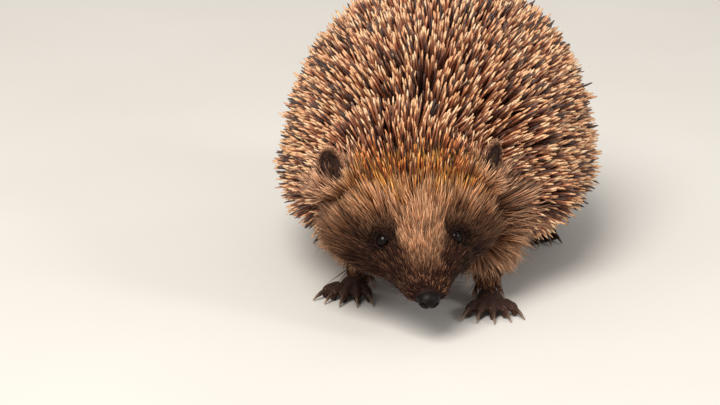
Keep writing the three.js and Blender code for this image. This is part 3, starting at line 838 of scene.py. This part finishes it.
def makeSkin():
    mesh = fleshForms()
    mesh = modified(mesh, "REMESH", {"mode": "VOXEL", "voxel_size": skinPlan["voxel"] * mm})
    mesh = largestShell(mesh)
    print(f"skin: {len(mesh.polygons)} faces after melting the forms together")
    field = fieldsAt(pointsOf(mesh))
    snout = fade(field["behind"], 24, 10) * field["onHead"]
    fine = np.maximum.reduce([field["ear"], field["paw"], field["pad"], snout])
    mesh = relaxed(mesh, 1 - 0.9 * fine, 0.5, 14)
    mesh = finerFace(mesh)
    mesh = relaxed(mesh, fade(fieldsAt(pointsOf(mesh))["behind"], 50, 47), 0.5, 3)
    setPoints(mesh, sculptedFace(pointsOf(mesh), normalsOf(mesh)))
    field = fieldsAt(pointsOf(mesh))
    mesh = relaxed(mesh, fade(field["behind"], 50, 47) * field["onHead"], 0.35, 2)
    triangles = sum(len(polygon.vertices) - 2 for polygon in mesh.polygons)
    share = skinPlan["triangles"] / triangles
    mesh = modified(mesh, "DECIMATE", {"ratio": share, "use_collapse_triangulate": True})
    for name, values in markings(pointsOf(mesh), fieldsAt(pointsOf(mesh))).items():
        setAttribute(mesh, name, values)
    skin = newPiece("skin", mesh, newMaterial(skinHide))
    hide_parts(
        "head", "snout", "jaw", "nose", "neck", "mantle", "belly", "tail",
        "ear_left", "ear_right", "foreleg_left", "foreleg_right", "hindleg_left", "hindleg_right",
        "forepaw_left", "forepaw_right", "hindpaw_left", "hindpaw_right",
    )
    unwrapped(skin)
    print(f"skin: {len(mesh.polygons)} faces in the end")
    return skin


skin = makeSkin()


def makeEye(label, material):
    form = bmesh.new()
    place = Matrix.Translation(Vector(boxMiddle(f"eye_{label}")) * mm)
    radius = headPlan["eyeRadius"] * mm
    bmesh.ops.create_uvsphere(form, u_segments=48, v_segments=32, radius=radius, matrix=place)
    eyeball = newPiece(f"eyeball_{label}", meshFrom(form, f"eyeball_{label}"), material)
    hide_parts(f"eye_{label}")


cornea = newMaterial(wetCornea)
for label in sides:
    makeEye(label, cornea)
print("eyes: made")


# Each claw is a ball drawn out along a drooping arc.
clawPlan = {"inside": 1.4, "rise": 1.5, "narrow": 0.78, "sizes": [0.95, 1.2, 1.12, 0.95, 0.74, 0.5, 0.22]}


def makeClaws(limbName, label, material):
    parts = []
    for toe in pawLayout(limbs[limbName], sides[label])["toes"]:
        start = toe["knuckle"] - toe["out"] * clawPlan["inside"] + np.array([0, 0, 0.3])
        tip = toe["clawTip"]
        bend = (start + tip) / 2 + np.array([0, 0, clawPlan["rise"]])
        claw = bentForm(14, 20, start, bend, tip, clawPlan["sizes"], (0.1, 0.05), clawPlan["narrow"])
        claw.flip_normals()  # a bent form comes out with its faces inwards
        shares = (pointsOf(claw) - start) @ toe["out"] / ((tip - start) @ toe["out"])
        setAttribute(claw, "along", np.clip(shares, 0, 1))
        parts.append(claw)
    name = f"claws_{limbName}_{label}"
    newPiece(name, joinedMesh(parts, name), material)


horn = newMaterial(clawHorn)
for limbName in limbs:
    for label in sides:
        makeClaws(limbName, label, horn)
print("claws: made")


class SkinMap:  # the finished skin as triangles to root the coat on
    def __init__(self, mesh):
        mesh.calc_loop_triangles()
        self.corners = valuesOf(mesh.loop_triangles, "vertices", 3, np.int32)
        self.loops = valuesOf(mesh.loop_triangles, "loops", 3, np.int32)
        self.points, self.normals = pointsOf(mesh), normalsOf(mesh)
        self.uvs = valuesOf(mesh.uv_layers["OFBake"].data, "uv", 2)
        places = self.points[self.corners]
        across, along = places[:, 1] - places[:, 0], places[:, 2] - places[:, 0]
        self.areas = np.linalg.norm(np.cross(across, along), axis=1) / 2
        self.middles = places.mean(axis=1)
        self.fields = fieldsAt(self.middles)
        self.facings = unit(self.normals[self.corners].mean(axis=1))

    def scatter(self, weights, count, rng):
        chances = self.areas * np.maximum(weights, 0)
        chosen = rng.choice(len(chances), count, p=chances / chances.sum())
        split = rng.random((count, 2))
        flip = split.sum(axis=1) > 1
        split[flip] = 1 - split[flip]
        shares = np.stack([1 - split.sum(axis=1), split[:, 0], split[:, 1]], axis=1)[..., None]
        corners, loops = self.corners[chosen], self.loops[chosen]
        return {
            "root": (self.points[corners] * shares).sum(axis=1),
            "normal": unit((self.normals[corners] * shares).sum(axis=1)),
            "uv": (self.uvs[loops] * shares).sum(axis=1),
        }


skinMap = SkinMap(skin.data)
print(f"skin: {skinMap.areas.sum():.0f} square mm")


def only(coat, keep):
    return {key: values[keep] for key, values in coat.items()}


def spacedOut(coat, gap):  # keeps, in order, the roots at least a gap from those already kept
    cells, kept = {}, []
    points = coat["root"]
    places = np.floor(points / gap).astype(int)
    steps = [(i, j, k) for i in (-1, 0, 1) for j in (-1, 0, 1) for k in (-1, 0, 1)]
    for index, (point, (x, y, z)) in enumerate(zip(points, places)):
        near = [other for i, j, k in steps for other in cells.get((x + i, y + j, z + k), ())]
        if near and ((points[near] - point) ** 2).sum(axis=1).min() < gap * gap:
            continue
        cells.setdefault((x, y, z), []).append(index)
        kept.append(index)
    return only(coat, kept)


def flowOver(points, normals, field):  # the way the coat lies at each point, along the skin
    away = unit(field["head"] - (noseInHead - [0, 5, 1]))
    for side in sides.values():
        fromEye = field["head"] - eyeInHead(side)
        near = fade(np.linalg.norm(fromEye, axis=1), 9, 3.5)
        away = away + (0.9 * near)[:, None] * unit(fromEye)
    headWay = unit(away) @ headAxes
    outwards, one = np.sign(points[:, 0]), np.ones(len(points))
    sink = blend(fade(field["aboveHem"], 26, -4), 0.02, 0.62)
    bodyWay = np.stack([0.10 * outwards, one, -sink], axis=1)
    chestWay = np.stack([0.45 * outwards, 0.3 * one, -one], axis=1)
    chest = fade(normals[:, 1], -0.15, -0.65) * fade(field["spiny"], 0.5, 0)
    bodyWay = blend(chest, unit(bodyWay), chestWay)
    bodyWay = blend(fade(normals[:, 2], -0.3, -0.7), bodyWay, np.array([0.0, 1.0, 0.0]))
    way = blend(field["onHead"], unit(bodyWay), headWay)
    way = blend(field["leg"], way, np.array([0, 0.3, -1.0]))
    way = blend(field["paw"], way, np.array([0, -1.0, -0.15]))
    way = blend(field["tail"], way, np.array([0, 0.79, -0.61]))
    way = blend(field["ear"] * 0.8, way, headAxes[2] + 0.2 * headAxes[1])
    return unit(way - normals * (way * normals).sum(axis=1, keepdims=True))


def combed(coat, rng, plan, lift, liftSpread, stray):
    # Turns each strand's way a little: whole patches together, and each strand on its own.
    points, normals, size = coat["root"], coat["normal"], plan["waveSize"]
    way = flowOver(points, normals, coat["field"])
    sideways = np.cross(normals, way)
    swing = np.radians(plan["wave"]) * ripple(points, size, 11)
    swing = swing + np.radians(stray) * rng.normal(size=len(points))
    way = way * np.cos(swing)[:, None] + sideways * np.sin(swing)[:, None]
    rise = np.radians(lift + liftSpread * (rng.normal(size=len(points)) + 0.5 * ripple(points, size, 12)))
    rise = np.clip(rise, 0.03, 1.4)
    lie = np.clip(rise - np.radians(plan["settle"]), 0.0, 1.4)
    start = way * np.cos(rise)[:, None] + normals * np.sin(rise)[:, None]
    end = way * np.cos(lie)[:, None] + normals * np.sin(lie)[:, None]
    return start, end


def clumped(coat, rng, perClump, share):  # neighbouring hairs lean together, and their tips meet in points
    middleWay = (coat["start"] + coat["end"]) / 2
    tips = coat["root"] + coat["length"][:, None] * middleWay
    count = len(tips)
    leaders = rng.choice(count, max(count // perClump, 1), replace=False)
    tree = kdtree.KDTree(len(leaders))
    for place, leader in enumerate(leaders):
        tree.insert(coat["root"][leader], place)
    tree.balance()
    own = leaders[[tree.find(root)[1] for root in coat["root"]]]
    pull = share * rng.uniform(0.6, 1.3, count)[:, None] * (tips[own] - tips)
    pull *= np.minimum(1, 0.35 * coat["length"] / np.maximum(np.linalg.norm(pull, axis=1), 0.01))[:, None]
    coat["end"] = coat["end"] + 2 * pull / coat["length"][:, None]
    coat["tint"] = 0.7 * coat["tint"] + 0.3 * coat["tint"][own]
    return coat


def strandMesh(name, shape, coat):
    steps, widths, around = np.array(shape["at"]), np.array(shape["widths"]), shape["sides"]
    count, rings = len(coat["root"]), len(shape["widths"])
    turns = np.arange(around) * 2 * math.pi / around
    t = steps[None, :, None]
    reach = coat["length"][:, None, None]
    bend = (coat["end"] - coat["start"])[:, None]
    line = coat["root"][:, None] + reach * (t * coat["start"][:, None] + t * t / 2 * bend)
    sideways = unit(np.cross(coat["normal"], coat["start"]))
    upright = np.cross(coat["start"], sideways)
    circle = np.cos(turns)[None, :, None] * sideways[:, None]
    circle = circle + shape["flat"] * np.sin(turns)[None, :, None] * upright[:, None]
    radius = (coat["width"] / 2)[:, None] * widths
    tubes = line[:, :-1, None] + radius[:, :, None, None] * circle[:, None]
    verts = np.concatenate([tubes.reshape(count, -1, 3), line[:, -1:]], axis=1)
    perStrand = verts.shape[1]
    # One strand's faces: its sides, the fan at its tip and the cap at its root.
    faces = []
    for low in range(0, (rings - 1) * around, around):
        for s in range(around):
            n = (s + 1) % around
            faces.append([low + s, low + n, low + around + n, low + around + s])
    last = (rings - 1) * around
    faces += [[last + s, last + (s + 1) % around, rings * around] for s in range(around)]
    faces.append(list(range(around - 1, -1, -1)))
    corners = np.array([corner for face in faces for corner in face])
    starts = np.cumsum([0] + [len(face) for face in faces[:-1]])
    loops = (corners[None] + (np.arange(count) * perStrand)[:, None]).ravel()
    loopStarts = (starts[None] + (np.arange(count) * len(corners))[:, None]).ravel()
    mesh = bpy.data.meshes.new(name)
    mesh.vertices.add(count * perStrand)
    mesh.loops.add(len(loops))
    mesh.polygons.add(len(loopStarts))
    mesh.vertices.foreach_set("co", (verts * mm).astype(np.float32).ravel())
    mesh.loops.foreach_set("vertex_index", loops.astype(np.int32))
    mesh.polygons.foreach_set("loop_start", loopStarts.astype(np.int32))
    mesh.update(calc_edges=True)
    # Each strand bakes into its own small patch, at its root's place on the skin.
    patch = 0.0015
    across = np.append(np.tile(np.cos(turns), rings), 0)
    along = np.append(np.repeat(steps[:-1], around), 1)
    uvs = coat["uv"][:, None] + patch * np.stack([across, 2 * along - 1], axis=1)[None]
    layer = mesh.uv_layers.new(name="OFBake")
    layer.data.foreach_set("uv", uvs.reshape(-1, 2)[loops].astype(np.float32).ravel())
    setAttribute(mesh, "along", np.tile(along, count))
    for key in ("tint", "dark", "rust", "pale"):
        if key in coat:
            setAttribute(mesh, key, np.repeat(coat[key], perStrand))
    return mesh


coatPlan = {
    "clearance": 0.5, "mostTriangles": 190000,  # height over the floor, and triangles in a piece
    "grizzled": 0.16, "plain": 0.34,  # shares of light hairs in the dark, and of unmarked ones in the gold
}


def clearOfFloor(coat):  # shortens whatever would reach into the floor
    fall = -(coat["start"] + coat["end"])[:, 2] / 2
    room = np.maximum(coat["root"][:, 2] - coatPlan["clearance"], 0.4) / np.maximum(fall, 0.01)
    return {**coat, "length": np.minimum(coat["length"], room)}


def makeCoat(name, shape, coat, material):
    coat = clearOfFloor(coat)
    perStrand = len(shape["widths"]) * shape["sides"] * 2 - 2
    count = len(coat["root"])
    parts = -(-count // (coatPlan["mostTriangles"] // perStrand))
    # A coat of many strands is parted into pieces across the body.
    order = np.argsort(coat["root"][:, 0], kind="stable")
    for part, chosen in enumerate(np.array_split(order, parts)):
        label = name if parts == 1 else f"{name}_{part + 1}"
        newPiece(label, strandMesh(label, shape, only(coat, chosen)), material)
    print(f"{name}: {count} strands, {count * perStrand} triangles")


def rooted(weights, count, seed, gap=0):  # the roots of a coat, with what lies where at each of them
    rng = np.random.default_rng(seed)
    coat = skinMap.scatter(weights, count, rng)
    if gap:
        coat = spacedOut(coat, gap)
    coat["field"] = fieldsAt(coat["root"])
    return coat, rng


def dressed(coat, rng, length, width, start, end, sunk):
    marks = markings(coat["root"], coat["field"])
    # Scattered light hairs grizzle the dark parts, most along the middle of the muzzle.
    grizzled = rng.random(len(length)) < coatPlan["grizzled"]
    marks["dark"] = marks["dark"] * (1 - grizzled * blend(fade(coat["field"]["wide"], 4, 10), 0.5, 0.22))
    plain = rng.random(len(length)) < coatPlan["plain"]
    marks["dark"] = np.maximum(marks["dark"], 0.85 * marks["rust"] * plain)
    marks["rust"] = marks["rust"] * np.where(plain, 0.15, 1.0)
    return {
        "root": coat["root"] - coat["normal"] * sunk, "normal": coat["normal"], "uv": coat["uv"],
        "start": start, "end": end, "length": length, "width": width,
        "tint": rng.beta(0.75, 0.95, len(length)), **{key: marks[key] for key in ("dark", "rust", "pale")},
    }


spinePlan = {
    "tries": 160000, "gap": 1.3, "sunk": 0.8,
    "length": 16.8, "marginLength": 12.5, "lengthSpread": 1.1, "width": 1.02,
    "lift": 54, "liftSpread": 11, "settle": 7, "wave": 7, "waveSize": 8, "stray": 17, "marginStray": 6,
    "shape": {
        "sides": 4, "flat": 1.0,
        "at": [0, 0.72, 0.86, 0.955, 1], "widths": [0.6, 0.86, 0.96, 0.64],
    },
}


def makeSpines():
    plan = spinePlan
    weights = skinMap.fields["spiny"] * (1 - skinMap.fields["ear"])
    coat, rng = rooted(weights, plan["tries"], 21, plan["gap"])
    field = coat["field"]
    count = len(coat["root"])
    inland = np.minimum(fade(field["pastBrow"], -2, 32), 0.3 + 0.7 * fade(field["aboveHem"], -3, 12))
    length = blend(inland, plan["marginLength"], plan["length"])
    length = length + plan["lengthSpread"] * rng.normal(size=count)
    width = plan["width"] * rng.uniform(0.85, 1.12, count) * blend(inland, 0.6, 1.0)
    lift = plan["lift"] - 8 * (1 - inland) * field["onHead"]
    liftSpread = plan["liftSpread"] * blend(inland, 0.5, 1.0)
    start, end = combed(coat, rng, plan, lift, liftSpread, blend(inland, plan["marginStray"], plan["stray"]))
    # Painted shade: patches of spines are darkened to stand in for the shadowed hollows where the spines
    # part.
    patches = ripple(coat["root"], 7, 23)
    coat = dressed(coat, rng, length, width, start, end, plan["sunk"])
    coat["tint"] = np.clip(coat["tint"] - 0.7 * blend(inland, 0.4, 1.0) * fade(patches, 0.3, 0.75), 0, 1)
    makeCoat("spines", plan["shape"], coat, newMaterial(spineKeratin))


makeSpines()


# Hairs are about 0.1 to 0.2 mm thick; they are drawn 0.24 to 0.75 mm thick, and fewer, so that they show.
furShape = {"sides": 3, "flat": 0.55, "at": [0, 0.4, 0.75, 1], "widths": [0.8, 1.0, 0.62]}
faceFur = {
    "behind": [0, 8, 16, 24, 32, 40, 48, 58, 70],  # distances behind the nose, for the length and width
    "length": [2.0, 3.4, 5.6, 8, 11, 13.5, 15.5, 16.5, 16.5],
    "width": [0.24, 0.27, 0.31, 0.37, 0.44, 0.5, 0.54, 0.56, 0.56],
    "count": 27000, "lift": 33, "liftSpread": 5, "settle": 32, "wave": 8, "waveSize": 12, "stray": 6,
    "perClump": 6, "clump": 0.2, "sunk": 0.35, "eyeClearance": 3.9,
}
bodyLie = {"liftSpread": 6, "settle": 14, "wave": 12, "waveSize": 14, "stray": 9, "sunk": 0.3}
bodyFur = {
    "flank": {"count": 17000, "length": 16, "width": 0.5, "lift": 26, "perClump": 6, "clump": 0.4},
    "belly": {"count": 6500, "length": 11, "width": 0.75, "lift": 16, "perClump": 6, "clump": 0.4},
    "legs": {"count": 6000, "length": 6.0, "width": 0.42, "lift": 17, "perClump": 5, "clump": 0.4},
    "paws": {"count": 3200, "length": 2.3, "width": 0.3, "lift": 11, "perClump": 4, "clump": 0.3},
    "tail": {"count": 1400, "length": 5.0, "width": 0.4, "lift": 15, "perClump": 5, "clump": 0.4},
    "ears": {"count": 3000, "length": 4.6, "width": 0.24, "lift": 20, "perClump": 4, "clump": 0.4},
}


def keptOffEyes(coat, start, end, length):  # no hair lies across an eye
    head = coat["field"]["head"]
    way = unit(start + end) @ headAxes.T
    for side in sides.values():
        toEye = eyeInHead(side) - head
        ahead = (toEye * way).sum(axis=1)
        miss = np.linalg.norm(toEye - ahead[:, None] * way, axis=1)
        blocked = (ahead > 0) & (miss < 3.4) & (ahead < 22)
        room = np.maximum(ahead - np.sqrt(np.maximum(faceFur["eyeClearance"] ** 2 - miss ** 2, 0)), 0.8)
        length = np.where(blocked, np.minimum(length, room), length)
    return length


def shorterByEar(field):  # the hair close round an ear is short
    return blend(fade(field["fromEar"], 9, 18), 0.62, 1.0)


def makeFaceFur(material):
    plan, fields = faceFur, skinMap.fields
    cover = fields["onHead"] * fade(fields["pastBrow"], 8, 0) * (1 - fields["pad"]) * (1 - fields["ear"])
    density = np.interp(fields["behind"], [0, 12, 24, 40, 60], [5, 3.4, 1.7, 1.0, 0.9])
    weights = cover * density * (1 + 3 * fade(fields["fromEye"], 8, 4)) * (fields["fromEye"] > 3.5)
    coat, rng = rooted(weights, plan["count"], 31)
    field, count = coat["field"], len(coat["root"])
    wide, behind, above = field["wide"], field["behind"], field["above"]
    near = fade(field["fromEye"], 3.5, 12)
    length = np.interp(behind, plan["behind"], plan["length"]) * blend(near, 0.2, 1.0)
    length *= rng.uniform(0.7, 1.2, count)
    cheekSide = fade(wide, 18, 27) * fade(above, 9, 1)
    jowl = fade(wide, 8, 14) * fade(above, 4, -3) * (fade(behind, 10, 20) * fade(behind, 44, 34))
    length *= (1 + 0.3 * fade(behind, 38, 52) * cheekSide + 0.35 * jowl) * shorterByEar(field)
    width = np.interp(behind, plan["behind"], plan["width"]) * rng.uniform(0.75, 1.2, count)
    width *= blend(near, 0.75, 1.0)
    forehead = fade(behind, 34, 52) * fade(above, 4, 12)
    lift = plan["lift"] + 8 * forehead + 9 * jowl
    start, end = combed(coat, rng, plan, lift, plan["liftSpread"], plan["stray"])
    length = keptOffEyes(coat, start, end, length)
    coat = dressed(coat, rng, length, width, start, end, plan["sunk"])
    coat = clumped(coat, rng, plan["perClump"], plan["clump"])
    # Painted shade: patches of forehead and golden crown hair are darkened to stand in for the shadowed gaps
    # between clumps.
    shaded = np.maximum(coat["rust"], 0.6 * forehead) * fade(ripple(coat["root"], 5, 33), 0.0, 0.6)
    coat["tint"] *= blend(near, 0.2, 1.0) * (1 - 0.7 * shaded)
    makeCoat("fur_face", furShape, coat, material)


def makeBodyFur(name, weights, seed, material):
    plan = bodyFur[name]
    coat, rng = rooted(weights, plan["count"], seed)
    count = len(coat["root"])
    length = plan["length"] * rng.uniform(0.7, 1.2, count)
    length *= (1 - 0.3 * fade(coat["field"]["aboveHem"], -2, -16)) * shorterByEar(coat["field"])
    width = plan["width"] * rng.uniform(0.75, 1.25, count)
    start, end = combed(coat, rng, bodyLie, plan["lift"], bodyLie["liftSpread"], bodyLie["stray"])
    coat = dressed(coat, rng, length, width, start, end, bodyLie["sunk"])
    coat = clumped(coat, rng, plan["perClump"], plan["clump"])
    makeCoat(f"fur_{name}", furShape, coat, material)


def makeFur(material):
    fields = skinMap.fields
    facing, height = skinMap.facings[:, 2], skinMap.middles[:, 2]  # how far up the skin faces and lies
    smooth = (1 - fields["spiny"]) * (1 - fields["onHead"]) * (1 - fields["ear"])
    trunkOnly = smooth * (1 - fields["leg"]) * (1 - fields["paw"]) * (1 - fields["tail"])
    under = fade(facing, -0.45, -0.75) * fade(height, 34, 28)
    covers = {
        "flank": trunkOnly * (1 - under),
        "belly": trunkOnly * under,
        "legs": fields["leg"],
        "paws": fields["paw"] * fade(facing, -0.1, 0.25) * fade(height, 0.8, 1.8),
        "tail": fields["tail"],
        "ears": fields["ear"] * (1 - 0.6 * fields["innerEar"]),
    }
    makeFaceFur(material)
    for seed, (name, weights) in enumerate(covers.items(), 41):
        makeBodyFur(name, weights, seed, material)


makeFur(newMaterial(hairKeratin))


# Whiskers are about 0.15 mm thick; they are drawn 0.2 mm thick so that they show.
whiskerPlan = {
    "roots": [
        (6.4, 6, 1.6), (7.6, 8.5, 1.2), (9.0, 11, 1.0), (6.6, 6.5, -0.4), (8.0, 9, -0.8), (9.6, 12, -1.0),
        (6.2, 6.5, -2.2), (7.6, 9.5, -2.6), (10.4, 14, 0.4),
    ],
    "length": 17, "width": 0.2,
    "shape": {
        "sides": 4, "flat": 1.0,
        "at": [0, 0.25, 0.5, 0.75, 0.9, 1], "widths": [1, 0.85, 0.65, 0.42, 0.25],
    },
}


def makeWhiskers():
    plan = whiskerPlan
    rng = np.random.default_rng(51)
    nearest = []
    for side in sides.values():
        for root in plan["roots"]:
            wanted = fromHead(np.array(root) * [side, 1, 1] + rng.normal(size=3) * 0.35)
            nearest.append(int(((skinMap.middles - wanted) ** 2).sum(axis=1).argmin()))
    count, normals = len(nearest), skinMap.facings[nearest]
    backward = headAxes[1] + rng.normal(size=(count, 3)) * 0.12
    start = unit(normals * 0.9 + backward * 0.35)
    end = unit(normals * 0.35 + backward * 0.9 - np.array([0, 0, 0.1]))
    coat = {
        "root": skinMap.middles[nearest] - normals * 0.3, "normal": unit(np.cross(start, headAxes[0])),
        "uv": skinMap.uvs[skinMap.loops[nearest]].mean(axis=1), "start": start, "end": end,
        "length": plan["length"] * rng.uniform(0.6, 1.3, count), "width": np.full(count, plan["width"]),
    }
    makeCoat("whiskers", plan["shape"], coat, newMaterial(whiskerHair))


makeWhiskers()


stagePlan = {
    "floor": 6.0, "sky": 0.58, "skyColour": (1.0, 0.98, 0.95, 1.0),
    "lights": {
        "keyLight": {"at": (-0.35, -1.25, 1.6), "size": 1.2, "energy": 54, "color": (1.0, 0.97, 0.93)},
        "fillLight": {"at": (1.5, -0.72, 0.97), "size": 0.5, "energy": 8, "color": (0.95, 0.97, 1.0)},
    },
}
floorForm = bmesh.new()
bmesh.ops.create_grid(floorForm, x_segments=8, y_segments=8, size=stagePlan["floor"])
floor = bpy.data.objects.new("floor", meshFrom(floorForm, "floor"))
floor.data.materials.append(newMaterial(paleFloor))
scene.collection.objects.link(floor)

for name, settings in stagePlan["lights"].items():
    lamp = bpy.data.lights.new(name, "AREA")
    lamp.shape = "DISK"
    lamp.size = settings["size"]
    lamp.energy = settings["energy"]
    lamp.color = settings["color"]
    light = bpy.data.objects.new(name, lamp)
    light.location = Vector(settings["at"])
    light.rotation_mode = "QUATERNION"
    light.rotation_quaternion = (-light.location).to_track_quat("-Z", "Y")
    scene.collection.objects.link(light)

world = bpy.data.worlds.new("studio")
world.use_nodes = True
world.node_tree.nodes.clear()
skyInputs = {"Color": stagePlan["skyColour"], "Strength": stagePlan["sky"]}
sky = addNode(world.node_tree, "Background", skyInputs)
addNode(world.node_tree, "OutputWorld", {"Surface": sky})
scene.world = world
scene.view_settings.view_transform = "Standard"
print("stage: floor and lights in place")
